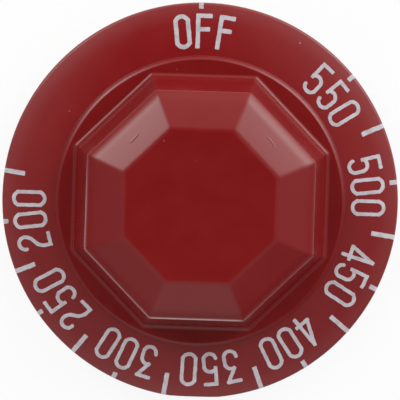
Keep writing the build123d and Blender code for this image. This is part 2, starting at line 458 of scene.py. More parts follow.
@dataclass(frozen=True)
class Nick:
    """A small curved nick on a facet: its middle, direction, length, width and bend."""

    middle: tuple[float, float]
    lean: float
    length: float
    width: float
    curve: float
    level: float = 16.7
    solid_share: float = 0.3
    lip_offset: float = 0.6

    def masks(self, bench: NodeBench, place: Socket) -> tuple[Socket, Socket]:
        """Masks of the nick's raised lip and of the groove beside it, worked out in the plane of the dial."""
        settings = {"Vector": place, "Location": [v * MM for v in self.middle] + [0],
                    "Rotation": (0, 0, radians(self.lean))}
        local = bench.add("Mapping", settings, vector_type="TEXTURE").outputs[0]
        along, across, _ = bench.add("SeparateXYZ", {0: local}).outputs
        arc = bench.math("MULTIPLY", bench.math("POWER", along, 2.0), self.curve / MM)
        bent = bench.math("SUBTRACT", across, arc)
        length = self.length * MM
        ends = bench.ramp(bench.math("ABSOLUTE", along), length * self.solid_share, length / 2, 1.0, 0.0)
        ends = bench.math("MULTIPLY", ends, above(bench, place, self.level))

        def line(offset: float) -> Socket:
            """Line beside the nick's middle, fading over its width."""
            gap = bench.math("ABSOLUTE", bench.math("SUBTRACT", bent, offset * MM))
            return bench.math("MULTIPLY", bench.ramp(gap, 0.0, self.width * MM, 1.0, 0.0), ends)

        return line(self.width * self.lip_offset), line(-self.width * self.lip_offset)


@dataclass(frozen=True)
class Speck:
    """A pale speck: its place in the dial's plane, its radius, its strength and the level it lies above."""

    middle: tuple[float, float]
    radius: float
    cover: float
    level: float
    core_share: float = 0.4

    def mask(self, bench: NodeBench, place: Socket) -> Socket:
        """Mask that fades from the speck's middle to its edge."""
        middle = [v * MM for v in self.middle] + [0]
        flat = bench.in_plane(bench.vector("SUBTRACT", place, middle))
        radius = self.radius * MM
        spot = bench.ramp(bench.vector("LENGTH", flat), radius * self.core_share, radius, self.cover, 0.0)
        return bench.math("MULTIPLY", spot, above(bench, place, self.level))


def new_material(name: str) -> tuple[bpy.types.Material, NodeBench, bpy.types.Node]:
    """Material with its node bench and its Principled BSDF."""
    material = bpy.data.materials.new(name)
    material.use_nodes = True
    return material, NodeBench(material.node_tree), material.node_tree.nodes["Principled BSDF"]


@dataclass(frozen=True)
class PaintedHighlightSide:
    """Stretch of the grip's edge with a painted highlight: its heading, its half widths and its cover."""

    heading: float
    full_within: float
    none_beyond: float
    cover: float

    def mask(self, bench: NodeBench, flat: Socket) -> Socket:
        """Cover from the outward direction: full near the heading, fading to none."""
        heading = (sin(radians(self.heading)), cos(radians(self.heading)), 0)
        facing = bench.vector("DOT_PRODUCT", flat, heading)
        low, high = cos(radians(self.none_beyond)), cos(radians(self.full_within))
        return bench.ramp(facing, low, high, 0.0, self.cover)


@dataclass(frozen=True)
class MouldedFinish:
    """Deep red moulded thermoset: semi-gloss, uneven in tone, fine grain, nicks, painted highlights, painted
    shade, painted rim glare and a skirt in painted light.
    """

    deep: Colour = (0.187, 0.0038, 0.0043)
    light: Colour = (0.209, 0.0056, 0.0061)
    # Painted light: the skirt of the same moulding is made lighter than the grip.
    skirt_painted_light: Colour = (1.08, 1.2, 1.28)
    # Painted glare: a pale haze over the outer skirt near the rim.
    painted_rim_glare: Colour = (0.60, 0.45, 0.45)
    rim_glare_cover: float = 0.035
    rim_glare_start: float = 25.5
    rim_glare_end: float = 28.5
    skirt_start: float = 20.9
    skirt_full: float = 21.2
    # Pale colour shared by the dust specks, the painted highlight on the nicks' lips and the painted
    # highlight along the shoulder edge.
    pale_dust_and_highlight: Colour = (0.62, 0.42, 0.41)
    lip_highlight_cover: float = 0.28
    # Painted shade: darker colour in the nicks' grooves.
    groove: Colour = (0.10, 0.002, 0.002)
    groove_shade_cover: float = 0.8
    # Painted highlight: a pale band along the lower shoulder edge, on the sides below.
    painted_highlight_band: tuple[float, float] = (15.95, 16.55)
    painted_highlight_sides: tuple[PaintedHighlightSide, ...] = (
        PaintedHighlightSide(222.0, 45.0, 75.0, 0.30),
        PaintedHighlightSide(180.5, 20.0, 24.0, 0.90),
    )
    roughness: tuple[float, float] = (0.22, 0.25)
    tone_scale: float = 260.0
    grain_scale: float = 2600.0
    ior: float = 1.45
    grain_depth: float = 0.0007
    nick_depth: float = 0.04
    nicks: tuple[Nick, ...] = (
        Nick((-9.62, 9.24), 48.0, 1.9, 0.11, 0.05),
        Nick((9.76, 9.50), -52.0, 2.4, 0.11, -0.12),
    )
    specks: tuple[Speck, ...] = (
        Speck((13.64, 23.24), 0.18, 0.38, 3.4),
        Speck((-19.21, 12.39), 0.16, 0.20, 3.4),
        Speck((-3.93, 18.94), 0.15, 0.12, 3.4),
        Speck((-5.39, 9.17), 0.20, 0.10, 16.7),
        Speck((-0.79, 6.47), 0.16, 0.06, 16.7),
    )

    def painted_edge_highlight(self, bench: NodeBench, place: Socket) -> Socket:
        """Mask of the painted highlight on the shoulder edge: a thin band of levels on the chosen sides."""
        low, high = (level * MM for level in self.painted_highlight_band)
        gap = bench.math("ABSOLUTE", bench.math("SUBTRACT", bench.part(place, "Z"), (low + high) / 2))
        band = bench.ramp(gap, 0.0, (high - low) / 2, 1.0, 0.0)
        flat = bench.vector("NORMALIZE", bench.in_plane(place))
        side = bench.math("MAXIMUM", *(lit_side.mask(bench, flat) for lit_side in self.painted_highlight_sides))
        return bench.math("MULTIPLY", band, side)

    def build(self, mottle: MottleGroup) -> bpy.types.Material:
        """Makes the material."""
        material, bench, shader = new_material("red_thermoset")
        place = bench.add("TexCoord").outputs["Object"]
        tone = mottle.place(bench, tone_scale=self.tone_scale, grain_scale=self.grain_scale)
        red = bench.mix(tone["Tone"], self.deep, self.light)
        outward = bench.vector("LENGTH", bench.in_plane(place))
        skirt = bench.ramp(outward, self.skirt_start * MM, self.skirt_full * MM, 0.0, 1.0)
        # Painted light: the skirt is lightened against the grip.
        skirt_lightened = bench.mix(skirt, red, self.skirt_painted_light, "MULTIPLY")
        # Painted glare near the rim.
        rim_glare = bench.ramp(outward, self.rim_glare_start * MM, self.rim_glare_end * MM, 0.0, self.rim_glare_cover)
        dull = bench.mix(rim_glare, skirt_lightened, self.painted_rim_glare)
        lips, grooves = zip(*(nick.masks(bench, place) for nick in self.nicks))
        lip = bench.math("MAXIMUM", *lips)
        groove = bench.math("MAXIMUM", *grooves)
        # Painted highlight on the nicks' lips.
        lip_highlight = bench.math("MULTIPLY", lip, self.lip_highlight_cover)
        # Painted highlight along the shoulder edge, joined with the lips' painted highlight and the dust
        # specks.
        pale = bench.math("MAXIMUM", lip_highlight, self.painted_edge_highlight(bench, place))
        for speck in self.specks:
            pale = bench.math("MAXIMUM", pale, speck.mask(bench, place))
        # Painted shade in the nicks' grooves.
        groove_shaded = bench.mix(bench.math("MULTIPLY", groove, self.groove_shade_cover), dull, self.groove)
        colour = bench.mix(pale, groove_shaded, self.pale_dust_and_highlight)
        gloss = bench.ramp(tone["Tone"], *NOISE_SPAN, *self.roughness)
        height = bench.math("SUBTRACT", bench.math("MULTIPLY", tone["Grain"], self.grain_depth),
                            bench.math("MULTIPLY", groove, self.nick_depth))
        bench.surface(shader, colour, gloss, height)
        shader.inputs["IOR"].default_value = self.ior
        return material


@dataclass(frozen=True)
class FilmFinish:
    """Off-white hot-stamped film, uneven in cover, with red showing through and with painted shade greying it
    towards OFF.
    """

    full: Colour = (0.672, 0.631, 0.672)
    thin: Colour = (0.56, 0.49, 0.525)
    # Painted shade: the film is made up to a quarter darker towards OFF.
    off_side_shade: Colour = (0.75, 0.75, 0.75)
    off_side_shade_reach: float = 28.5
    cover_span: tuple[float, float] = (0.30, 0.62)
    tone_scale: float = 900.0
    grain_scale: float = 6000.0
    roughness: tuple[float, float] = (0.55, 0.70)
    specular: float = 0.2
    grain_depth: float = 0.004

    def build(self, mottle: MottleGroup) -> bpy.types.Material:
        """Makes the material."""
        material, bench, shader = new_material("white_stamp_film")
        shader.inputs["Specular IOR Level"].default_value = self.specular
        tone = mottle.place(bench, tone_scale=self.tone_scale, grain_scale=self.grain_scale)
        cover = bench.ramp(tone["Tone"], *self.cover_span, 0.0, 1.0)
        film = bench.mix(cover, self.thin, self.full)
        towards_off = bench.part(bench.add("TexCoord").outputs["Object"], "Y")
        # Painted shade, growing towards OFF.
        off_side_shade_share = bench.ramp(towards_off, -self.off_side_shade_reach * MM, self.off_side_shade_reach * MM, 0.0, 1.0)
        colour = bench.mix(off_side_shade_share, film, self.off_side_shade, "MULTIPLY")
        gloss = bench.ramp(tone["Grain"], *NOISE_SPAN, *self.roughness)
        bench.surface(shader, colour, gloss, bench.math("MULTIPLY", tone["Grain"], self.grain_depth))
        return material


@dataclass(frozen=True)
class SteelFinish:
    """Bright rolled spring steel with fine lines along the strip."""

    steel: Colour = (0.55, 0.54, 0.52)
    dull: Colour = (0.40, 0.39, 0.37)
    roughness: tuple[float, float] = (0.22, 0.40)
    line_depth: float = 0.003
    line_scale: tuple[float, float, float] = (12000.0, 300.0, 300.0)
    tone_scale: float = 1500.0
    grain_scale: float = 9000.0

    def build(self, mottle: MottleGroup) -> bpy.types.Material:
        """Makes the material."""
        material, bench, shader = new_material("spring_steel_strip")
        tone = mottle.place(bench, tone_scale=self.tone_scale, grain_scale=self.grain_scale)
        place = bench.add("TexCoord").outputs["Object"]
        across = bench.add("Mapping", {"Vector": place, "Scale": self.line_scale}).outputs[0]
        lines = bench.add("TexNoise", {"Vector": across, "Scale": 1.0, "Detail": 2.0}).outputs[0]
        colour = bench.mix(tone["Tone"], self.dull, self.steel)
        gloss = bench.ramp(lines, *NOISE_SPAN, *self.roughness)
        bench.surface(shader, colour, gloss, bench.math("MULTIPLY", lines, self.line_depth))
        shader.inputs["Metallic"].default_value = 1.0
        return material


@dataclass(frozen=True)
class Finishes:
    """The object's materials."""

    moulded: bpy.types.Material
    film: bpy.types.Material
    steel: bpy.types.Material

    @classmethod
    def make(cls) -> "Finishes":
        """Builds the shared group and the three materials."""
        mottle = MottleGroup()
        return cls(MouldedFinish().build(mottle), FilmFinish().build(mottle), SteelFinish().build(mottle))


def dress(piece: bpy.types.Object, node: str, material: bpy.types.Material) -> bpy.types.Object:
    """Gives a piece its finish, lets it stand for a node and ride on the body, and logs it."""
    piece.data.materials.clear()
    piece.data.materials.append(material)
    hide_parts(node)
    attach(piece, BODY)
    log.info("%s: %d faces, stands for %s", piece.name, len(piece.data.polygons), node)
    return piece


def sharpen(mesh: bpy.types.Mesh, angle: float) -> None:
    """Marks the edges that turn by more than an angle as sharp."""
    mesh.set_sharp_from_angle(angle=radians(angle))


def combined(target: bpy.types.Object, tools: list[bpy.types.Object], operation: str) -> None:
    """Joins closed tools to a target, or cuts them from it, and removes the tools.

    Args:
        target: the object whose mesh is replaced by the result.
        tools: closed objects that stand for one operand each.
        operation: UNION or DIFFERENCE.
    """
    for tool in tools:
        modifier = target.modifiers.new(tool.name, "BOOLEAN")
        modifier.operation = operation
        modifier.solver = "EXACT"
        modifier.object = tool
    graph = bpy.context.evaluated_depsgraph_get()
    result = bpy.data.meshes.new_from_object(target.evaluated_get(graph))
    result.name = target.data.name
    target.modifiers.clear()
    old = target.data
    target.data = result
    bpy.data.meshes.remove(old)
    for tool in tools:
        mesh = tool.data
        bpy.data.objects.remove(tool)
        bpy.data.meshes.remove(mesh)


@dataclass(frozen=True)
class DialBody:
    """The one moulded piece: skirt, plateau, grip, hollow back, hub and ribs."""

    sizes: DialSizes
    facet_bow: float = 0.05
    crown_corner: float = 0.90
    shoulder_corner: float = 0.90
    foot_corner: float = 0.50
    cavity_corner: float = 1.00
    corner_window: float = 1.6
    facet_columns: int = 19
    corner_columns: int = 15
    hub_columns: int = 96
    socket_columns: int = 72
    rib_rows: int = 4
    sharp_angle: float = 38.0

    def angles(self) -> Points:
        """Column angles: even across each flat, and close together at each corner."""
        half = 180.0 / self.sizes.sides
        edge = half - self.corner_window
        flat = np.linspace(-edge, edge, self.facet_columns)
        corner = np.linspace(edge, 2 * half - edge, self.corner_columns + 2)[1:-1]
        side = np.concatenate([flat, corner])
        turns = np.arange(self.sizes.sides)[:, None] * 2 * half
        return np.radians((turns + side).ravel())

    def shell(self) -> bpy.types.Mesh:
        """Closed skin of the face, rim, back and cavity.

        Each row of the meridian is a mix of a circle and a rounded octagon: the grip and the cavity are
        octagons, the skirt and the back are circles, and the flats between them pass from one to the other.
        The facets swell by a parabola across their run, and the rim is cut by the plane of the gate flat.
        """
        size = self.sizes
        path, station = size.meridian()
        octagon = {Corner.FOOT: 1, Corner.PLATEAU_EDGE: 0, Corner.UNDER_STEP: 0, Corner.MOUTH: 1}
        share = np.interp(station, list(octagon), list(octagon.values()))
        rounds = {Corner.TOP_EDGE: self.crown_corner, Corner.SHOULDER_UPPER: self.shoulder_corner,
                  Corner.SHOULDER_LOWER: self.shoulder_corner, Corner.FOOT: self.foot_corner,
                  Corner.PLATEAU_EDGE: self.foot_corner, Corner.UNDER_STEP: self.cavity_corner}
        corner = np.interp(station, list(rounds), list(rounds.values()))
        run, level = path.T
        across = np.clip((run - size.top_apothem) / (size.shoulder_apothem - size.top_apothem), 0, 1)
        level = level + np.where(station < Corner.FOOT, 4 * self.facet_bow * across * (1 - across), 0)
        angles = self.angles()
        flats = octagon_radius(angles, run, np.minimum(corner, run / 3), size.sides)
        radius = share[:, None] * flats + (1 - share[:, None]) * run[:, None]
        rings = np.stack([radius * np.cos(angles), radius * np.sin(angles),
                          np.broadcast_to(level[:, None], radius.shape)], -1)
        rings[..., 1] = np.maximum(rings[..., 1], size.gate_flat_depth - size.dial_radius)
        return mesh_of_rings("dial_body_shell", rings[1:-1], rings[0, 0], rings[-1, 0])

    def hub(self) -> bpy.types.Mesh:
        """Round post that hangs from the cavity's roof, its end edge rounded."""
        size = self.sizes
        root, end = size.root_level, size.hub_setback
        path, _ = rounded_path([(0, root), (size.hub_radius, root), (size.hub_radius, end), (0, end)],
                               [size.hub_root_round, size.hub_end_round], [2, 6])
        angles = np.linspace(0, 2 * pi, self.hub_columns + 1)[:-1]
        rings = np.stack([np.outer(path[:, 0], np.cos(angles)), np.outer(path[:, 0], np.sin(angles)),
                          np.repeat(path[:, 1:], len(angles), 1)], -1)
        return mesh_of_rings("hub", rings[1:-1], rings[0, 0], rings[-1, 0])

    def rib(self, turn: float) -> bpy.types.Mesh:
        """Rib from inside the hub to inside the grip wall, its lower edges rounded, turned about Z.

        Its section is carried along the rib, and its far end leans with the wall.
        """
        size = self.sizes
        root, edge = size.root_level, size.rib_setback
        half = size.rib_thickness / 2
        section, _ = rounded_path([(half, root), (half, edge), (-half, edge), (-half, root)],
                                  [size.rib_round] * 2, [5, 5], run_shares=())
        level = section[:, 1]
        ends = np.stack([np.full(len(level), size.hub_radius / 2),
                         np.array([size.cavity_apothem(z) + size.grip_wall / 3 for z in level])])
        stops = np.linspace(0, 1, self.rib_rows)[:, None]
        along = ends[0] + (ends[1] - ends[0]) * stops
        sideways = np.broadcast_to(section[:, 0], along.shape)
        rings = np.stack([along, sideways, np.broadcast_to(level, along.shape)], -1)
        rotation = np.array(Matrix.Rotation(radians(turn), 3, "Z"))
        rings = rings @ rotation.T
        return mesh_of_rings("rib", rings, rings[0].mean(0), rings[-1].mean(0))

    def socket(self) -> bpy.types.Mesh:
        """Cutter for the shaft socket: a circle with one flat, carried up the hub, wider at its mouth."""
        size = self.sizes
        edge = np.arccos(size.socket_flat / size.socket_radius)
        around = np.linspace(pi / 2 + edge, 5 * pi / 2 - edge, self.socket_columns)
        outline = np.stack([np.cos(around), np.sin(around)], -1) * size.socket_radius
        levels = size.hub_setback + np.array([-size.socket_overcut, size.socket_lead, size.socket_depth])
        scale = np.array([size.socket_flare, 1.0, 1.0])
        height = np.broadcast_to(levels[:, None, None], (len(levels), len(outline), 1))
        rings = np.concatenate([outline[None] * scale[:, None, None], height], -1)[::-1]
        return mesh_of_rings("socket", rings, rings[0].mean(0), rings[-1].mean(0))

    def build(self, spring: "ShaftSpring", finishes: Finishes) -> bpy.types.Object:
        """Joins the hub and ribs to the shell, cuts the socket and the spring's pocket, and dresses it."""
        piece = new_object("moulded_dial", self.shell())
        step = 360 / self.sizes.rib_count
        posts = [new_object("hub_post", self.hub())]
        posts += [new_object(f"rib_{i}", self.rib(step * (i + 0.5))) for i in range(self.sizes.rib_count)]
        combined(piece, posts, "UNION")
        cutters = [new_object("socket_cutter", self.socket()), new_object("pocket_cutter", spring.pocket())]
        combined(piece, cutters, "DIFFERENCE")
        sharpen(piece.data, self.sharp_angle)
        return dress(piece, "dial_body", finishes.moulded)


@dataclass(frozen=True)
class ShaftSpring:
    """Hairpin strip of spring steel that straddles the hub wall at the socket's flat."""

    sizes: DialSizes
    thickness: float = 0.4
    width: float = 3.0
    web: float = 1.2
    inner_leg: float = 9.0
    outer_leg: float = 6.0
    bow: float = 0.3
    bow_radius: float = 15.0
    gap: float = 0.05
    edge_round: float = 0.08
    sharp_angle: float = 50.0

    def strip(self, name: str, thickness: float, width: float, corner: float) -> bpy.types.Mesh:
        """Strip carried along the hairpin's path.

        The section is a rectangle with rounded corners, set square to the path: across the strip along X, and
        through its thickness along the path's normal in the YZ plane.

        Args:
            name: the mesh's name.
            thickness: the strip's thickness.
            width: the strip's width.
            corner: radius of the section's corners.

        Returns:
            The closed mesh.
        """
        size = self.sizes
        inner = size.socket_flat + self.thickness / 2
        outer = inner + self.thickness + self.web
        bridge = size.hub_setback + self.thickness / 2
        top = size.hub_setback + self.inner_leg
        path, _ = rounded_path(
            [(inner, top), (inner - self.bow, (top + bridge) / 2), (inner, bridge), (outer, bridge),
             (outer, size.hub_setback + self.outer_leg)],
            [self.bow_radius, self.thickness, self.thickness], [12, 10, 10])
        tangent = unit(np.gradient(path, axis=0))
        normal = np.stack([-tangent[:, 1], tangent[:, 0]], -1)
        half_x, half_n = width / 2, thickness / 2
        section, _ = rounded_path(
            [(0, -half_n), (half_x, -half_n), (half_x, half_n), (-half_x, half_n), (-half_x, -half_n),
             (0, -half_n)],
            [corner] * 4, [4] * 4, run_shares=())
        section = section[:-1]
        middle = path[:, None, :] + section[None, :, 1:] * normal[:, None, :]
        across = np.broadcast_to(section[None, :, :1], (len(path), len(section), 1))
        rings = np.concatenate([across, middle], -1)
        return mesh_of_rings(name, rings, rings[0].mean(0), rings[-1].mean(0))

    def pocket(self) -> bpy.types.Mesh:
        """Cutter for the spring's pocket in the hub, wider than the strip by the gap all round."""
        return self.strip("pocket", self.thickness + 2 * self.gap, self.width + 2 * self.gap, self.gap)

    def build(self, finishes: Finishes) -> bpy.types.Object:
        """Makes and dresses the spring."""
        mesh = self.strip("hairpin_spring", self.thickness, self.width, self.edge_round)
        piece = new_object("hairpin_spring", mesh)
        sharpen(piece.data, self.sharp_angle)
        return dress(piece, "shaft_spring", finishes.steel)


@dataclass(frozen=True)
class Bar:
    """Straight pen stroke between two points of the character's box."""

    start: tuple[float, float]
    end: tuple[float, float]

    def distance(self, x: Points, y: Points, box: Points, pen: float, cap: float) -> Points:
        """Signed distance to a rectangle along the stroke, a pen's width across, with rounded corners."""
        start, end = np.asarray(self.start) * box, np.asarray(self.end) * box
        run = end - start
        length = np.hypot(*run)
        along_x, along_y = run / length
        from_x, from_y = x - (start[0] + end[0]) / 2, y - (start[1] + end[1]) / 2
        along = np.abs(from_x * along_x + from_y * along_y) - (length / 2 + pen / 2 - cap)
        across = np.abs(from_y * along_x - from_x * along_y) - (pen / 2 - cap)
        outside = np.hypot(np.maximum(along, 0), np.maximum(across, 0))
        return outside + np.minimum(np.maximum(along, across), 0) - cap


@dataclass(frozen=True)
class Bow:
    """Curved pen stroke: a circular arc from start to end through a point of the character's box."""

    start: tuple[float, float]
    through: tuple[float, float]
    end: tuple[float, float]

    def distance(self, x: Points, y: Points, box: Points, pen: float, cap: float) -> Points:
        """Signed distance to the arc less half a pen's width, with round ends."""
        a, b, c = (np.asarray(p) * box for p in (self.start, self.through, self.end))
        chords = np.array([b - a, c - a])
        centre = a + np.linalg.solve(2 * chords, (chords**2).sum(1))
        radius = np.hypot(*(a - centre))
        first = atan2(*(a - centre)[::-1])
        sweep = (atan2(*(c - centre)[::-1]) - first) % (2 * pi)
        middle = (atan2(*(b - centre)[::-1]) - first) % (2 * pi)
        if middle > sweep:
            first, sweep = first + sweep, 2 * pi - sweep
        turned = (np.arctan2(y - centre[1], x - centre[0]) - first) % (2 * pi)
        on_arc = np.abs(np.hypot(x - centre[0], y - centre[1]) - radius)
        off_arc = np.minimum(np.hypot(x - a[0], y - a[1]), np.hypot(x - c[0], y - c[1]))
        return np.where(turned <= sweep, on_arc, off_arc) - pen / 2


Stroke = Bar | Bow
ROUND = (
    Bow((0, 0.85), (0.5, 1), (1, 0.85)),
    Bar((1, 0.85), (1, 0.15)),
    Bow((1, 0.15), (0.5, 0), (0, 0.15)),
    Bar((0, 0.15), (0, 0.85)),
)
CHARACTERS: dict[str, tuple[Stroke, ...]] = {
    "0": ROUND,
    "O": ROUND,
    "2": (
        Bow((0, 0.79), (0.48, 1), (0.95, 0.8)),
        Bow((0.95, 0.8), (0.86, 0.66), (0.6, 0.54)),
        Bar((0.6, 0.54), (0.25, 0.42)),
        Bow((0.25, 0.42), (0.06, 0.29), (0, 0.12)),
        Bar((0, 0.12), (0, 0)),
        Bar((0, 0), (0.85, 0)),
    ),
    "3": (
        Bar((0, 1), (0.92, 1)),
        Bar((0.92, 1), (0.3, 0.57)),
        Bow((0.3, 0.57), (0.72, 0.55), (0.95, 0.42)),
        Bar((0.95, 0.42), (0.95, 0.17)),
        Bow((0.95, 0.17), (0.45, 0), (0, 0.2)),
    ),
    "4": (
        Bar((0.77, 1), (0.77, 0)),
        Bar((0.77, 1), (0, 0.23)),
        Bar((0, 0.23), (1, 0.23)),
    ),
    "5": (
        Bar((0.07, 1), (0.92, 1)),
        Bar((0.07, 1), (0.07, 0.47)),
        Bow((0.07, 0.5), (0.58, 0.585), (0.95, 0.42)),
        Bar((0.95, 0.42), (0.95, 0.16)),
        Bow((0.95, 0.16), (0.48, 0), (0.03, 0.15)),
    ),
    "F": (
        Bar((0, 0), (0, 1)),
        Bar((0, 1), (0.97, 1)),
        Bar((0, 0.56), (0.8, 0.56)),
    ),
}

# Triangles that cover the inside of a grid cell, by which of its corners 0 to 3 lie inside (bits 1, 2, 4, 8).
# Numbers 4 to 7 are the crossings on the cell's four sides, from the side between corners 0 and 1 onwards.
CELL_TRIANGLES = {
    1: [(0, 4, 7)],
    2: [(1, 5, 4)],
    3: [(0, 1, 5), (0, 5, 7)],
    4: [(2, 6, 5)],
    5: [(0, 4, 7), (2, 6, 5)],
    6: [(1, 2, 6), (1, 6, 4)],
    7: [(0, 1, 2), (0, 2, 6), (0, 6, 7)],
    8: [(3, 7, 6)],
    9: [(0, 4, 6), (0, 6, 3)],
    10: [(1, 5, 4), (3, 7, 6)],
    11: [(0, 1, 5), (0, 5, 6), (0, 6, 3)],
    12: [(2, 3, 7), (2, 7, 5)],
    13: [(0, 4, 5), (0, 5, 2), (0, 2, 3)],
    14: [(1, 2, 3), (1, 3, 7), (1, 7, 4)],
    15: [(0, 1, 2), (0, 2, 3)],
}


def filled_outline(x: Points, y: Points, distance: Points) -> Pair:
    """Triangles over the part of a grid where a signed distance is negative.

    Each cell is cut by straight lines between the zero crossings on its sides, a crossing lying at
    d0 / (d0 - d1) of the way between two grid points.

    Args:
        x: grid columns' places.
        y: grid rows' places.
        distance: signed distance, rows by columns.

    Returns:
        Points in the plane, and triangles as point numbers.
    """
    rows, columns = distance.shape
    grid = np.stack(np.meshgrid(x, y), -1)
    inside = distance < 0

    def crossings(first: tuple[slice, slice], second: tuple[slice, slice]) -> Points:
        """Zero crossings between neighbouring grid points, the middle where there is none."""
        gap = distance[first] - distance[second]
        cut = inside[first] != inside[second]
        share = np.where(cut, distance[first] / np.where(cut, gap, 1), 0.5)[..., None]
        return grid[first] + (grid[second] - grid[first]) * share

    every, left, right = slice(None), slice(None, -1), slice(1, None)
    level = crossings((every, left), (every, right))
    upright = crossings((left, every), (right, every))
    points = np.concatenate([grid.reshape(-1, 2), level.reshape(-1, 2), upright.reshape(-1, 2)])
    i, j = np.meshgrid(np.arange(rows - 1), np.arange(columns - 1), indexing="ij")
    at_level, at_upright = rows * columns, rows * columns + rows * (columns - 1)
    local = np.stack([
        i * columns + j, i * columns + j + 1, (i + 1) * columns + j + 1, (i + 1) * columns + j,
        at_level + i * (columns - 1) + j, at_upright + i * columns + j + 1,
        at_level + (i + 1) * (columns - 1) + j, at_upright + i * columns + j,
    ], -1)
    kind = inside[:-1, :-1] + 2 * inside[:-1, 1:] + 4 * inside[1:, 1:] + 8 * inside[1:, :-1]
    found = [local[kind == code][:, triangle]
             for code, triangles in CELL_TRIANGLES.items() for triangle in triangles]
    used, numbers = np.unique(np.concatenate(found), return_inverse=True)
    return points[used], numbers.reshape(-1, 3)


@dataclass(frozen=True)
class StampedScale:
    """White film stamped on the skirt: the OFF word, the temperature numbers and the tick marks."""

    sizes: DialSizes
    film_thickness: float = 0.05
    sunk: float = 0.03
    pen: float = 0.52
    off_pen: float = 0.62
    cap: float = 0.12
    character_width: float = 2.40
    character_height: float = 5.0
    character_pitch: float = 7.28
    rim_gap: float = 1.65
    tick_width: float = 0.67
    tick_cap: float = 0.08
    cell: float = 0.066
    ragged: float = 0.022
    turn: float = 1.1
    shift: tuple[float, float] = (-0.2, 0.08)
    rim_reach: float = 0.067
    seed: int = 11
    off_word: str = "OFF"
    off_angle: float = 1.1
    wave_count: int = 6
    wave_lengths: tuple[float, float] = (0.35, 1.3)
    sharp_angle: float = 40.0

    @property
    def numbers(self) -> dict[str, float]:
        """Clockwise angle of each temperature from the OFF mark."""
        return {"550": 51.0, "500": 84.4, "450": 115.4, "400": 146.6, "350": 175.4, "300": 204.4,
                "250": 233.8, "200": 262.7}

    @property
    def ticks(self) -> list[tuple[Tick, float]]:
        """Kind and clockwise angle of each tick mark. The mark of one number is worn away."""
        short = [0.0, 50.5, 84.0, 116.0, 146.5, 205.0, 234.0, 263.0]
        long = [67.2, 100.0, 130.6, 160.85, 189.55, 219.05, 248.0, 278.1]
        return [(Tick.SHORT, angle) for angle in short] + [(Tick.LONG, angle) for angle in long]

    def waver(self, x: Points, y: Points, draws: np.random.Generator) -> Points:
        """Small wave that makes a film's edge uneven: sines with drawn directions, lengths and phases."""
        heading = draws.uniform(0, 2 * pi, self.wave_count)
        waves = 2 * pi / draws.uniform(*self.wave_lengths, self.wave_count)
        phases = draws.uniform(0, 2 * pi, self.wave_count)
        swing = np.sin(waves * (x[..., None] * np.cos(heading) + y[..., None] * np.sin(heading)) + phases)
        return self.ragged * swing.mean(-1) * 2

    def draped(self, flat: Points, triangles: Points) -> Pair:
        """Closed film over flat triangles: a top skin, a lower skin sunk in the skirt, and a wall between.

        The skirt's level is read along its profile, and both skins stand off it along its normal.

        Args:
            flat: points in the dial's plane.
            triangles: point numbers.

        Returns:
            Points and triangles of the closed film.
        """
        run, level = self.sizes.skirt_profile()
        slope = np.gradient(level, run)
        radius = np.hypot(*flat.T)
        lean = np.arctan(np.interp(radius, run, slope))[:, None]
        outward = np.concatenate([-np.sin(lean) * flat / radius[:, None], np.cos(lean)], -1)
        surface = np.column_stack([flat, np.interp(radius, run, level)])
        points = np.concatenate([surface + outward * self.film_thickness, surface - outward * self.sunk])
        sides = triangles[:, [[0, 1], [1, 2], [2, 0]]].reshape(-1, 2)
        _, which, times = np.unique(np.sort(sides, 1), axis=0, return_index=True, return_counts=True)
        a, b = sides[which[times == 1]].T
        below = len(flat)
        wall = np.concatenate([np.stack([a, a + below, b], -1), np.stack([b, a + below, b + below], -1)])
        return points, np.concatenate([triangles, triangles[:, ::-1] + below, wall])

    def set_on_dial(self, flat: Points, angle: float) -> Points:
        """Turns points clockwise from the OFF mark and moves them with the stamp."""
        back = radians(self.turn - angle)
        rotation = np.array([[cos(back), -sin(back)], [sin(back), cos(back)]])
        return flat @ rotation.T + self.shift

    def character(self, sign: str, angle: float, pen: float, draws: np.random.Generator) -> Pair:
        """Film of one character, upright at its angle, its outline the least distance to its strokes."""
        box = np.array([self.character_width, self.character_height]) - pen
        margin = pen
        x = np.arange(-margin, box[0] + margin, self.cell)
        y = np.arange(-margin, box[1] + margin, self.cell)
        grid_x, grid_y = np.meshgrid(x, y)
        strokes = [stroke.distance(grid_x, grid_y, box, pen, self.cap) for stroke in CHARACTERS[sign]]
        outline = np.minimum.reduce(strokes) + self.waver(grid_x, grid_y, draws)
        flat, triangles = filled_outline(x, y, outline)
        centre = self.sizes.dial_radius - self.rim_gap - self.character_height / 2
        upright = flat - box / 2 + [0, centre]
        return self.draped(self.set_on_dial(upright, angle), triangles)

    def tick(self, kind: Tick, angle: float, draws: np.random.Generator) -> Pair:
        """Film of one tick mark, from its inner end out over the rounded rim."""
        rim = self.sizes.dial_radius - self.rim_reach
        inner = self.sizes.dial_radius - kind.value + self.tick_width / 2
        x = np.arange(-self.tick_width, self.tick_width, self.cell / 2)
        y = np.arange(inner - self.tick_width, self.sizes.dial_radius + self.tick_width, self.cell / 2)
        grid_x, grid_y = np.meshgrid(x, y)
        bar = Bar((0, inner), (0, self.sizes.dial_radius + self.tick_width))
        outline = bar.distance(grid_x, grid_y, np.ones(2), self.tick_width, self.tick_cap)
        outline += self.waver(grid_x, grid_y, draws)
        placed = self.set_on_dial(np.stack([grid_x, grid_y], -1).reshape(-1, 2), angle)
        outline = np.maximum(outline, np.hypot(*placed.T).reshape(outline.shape) - rim)
        flat, triangles = filled_outline(x, y, outline)
        return self.draped(self.set_on_dial(flat, angle), triangles)

    def word(self, text: str, angle: float, pen: float, draws: np.random.Generator) -> list[Pair]:
        """Films of a word's characters, spread evenly about its angle."""
        first = angle - (len(text) - 1) / 2 * self.character_pitch
        return [self.character(sign, first + i * self.character_pitch, pen, draws)
                for i, sign in enumerate(text)]

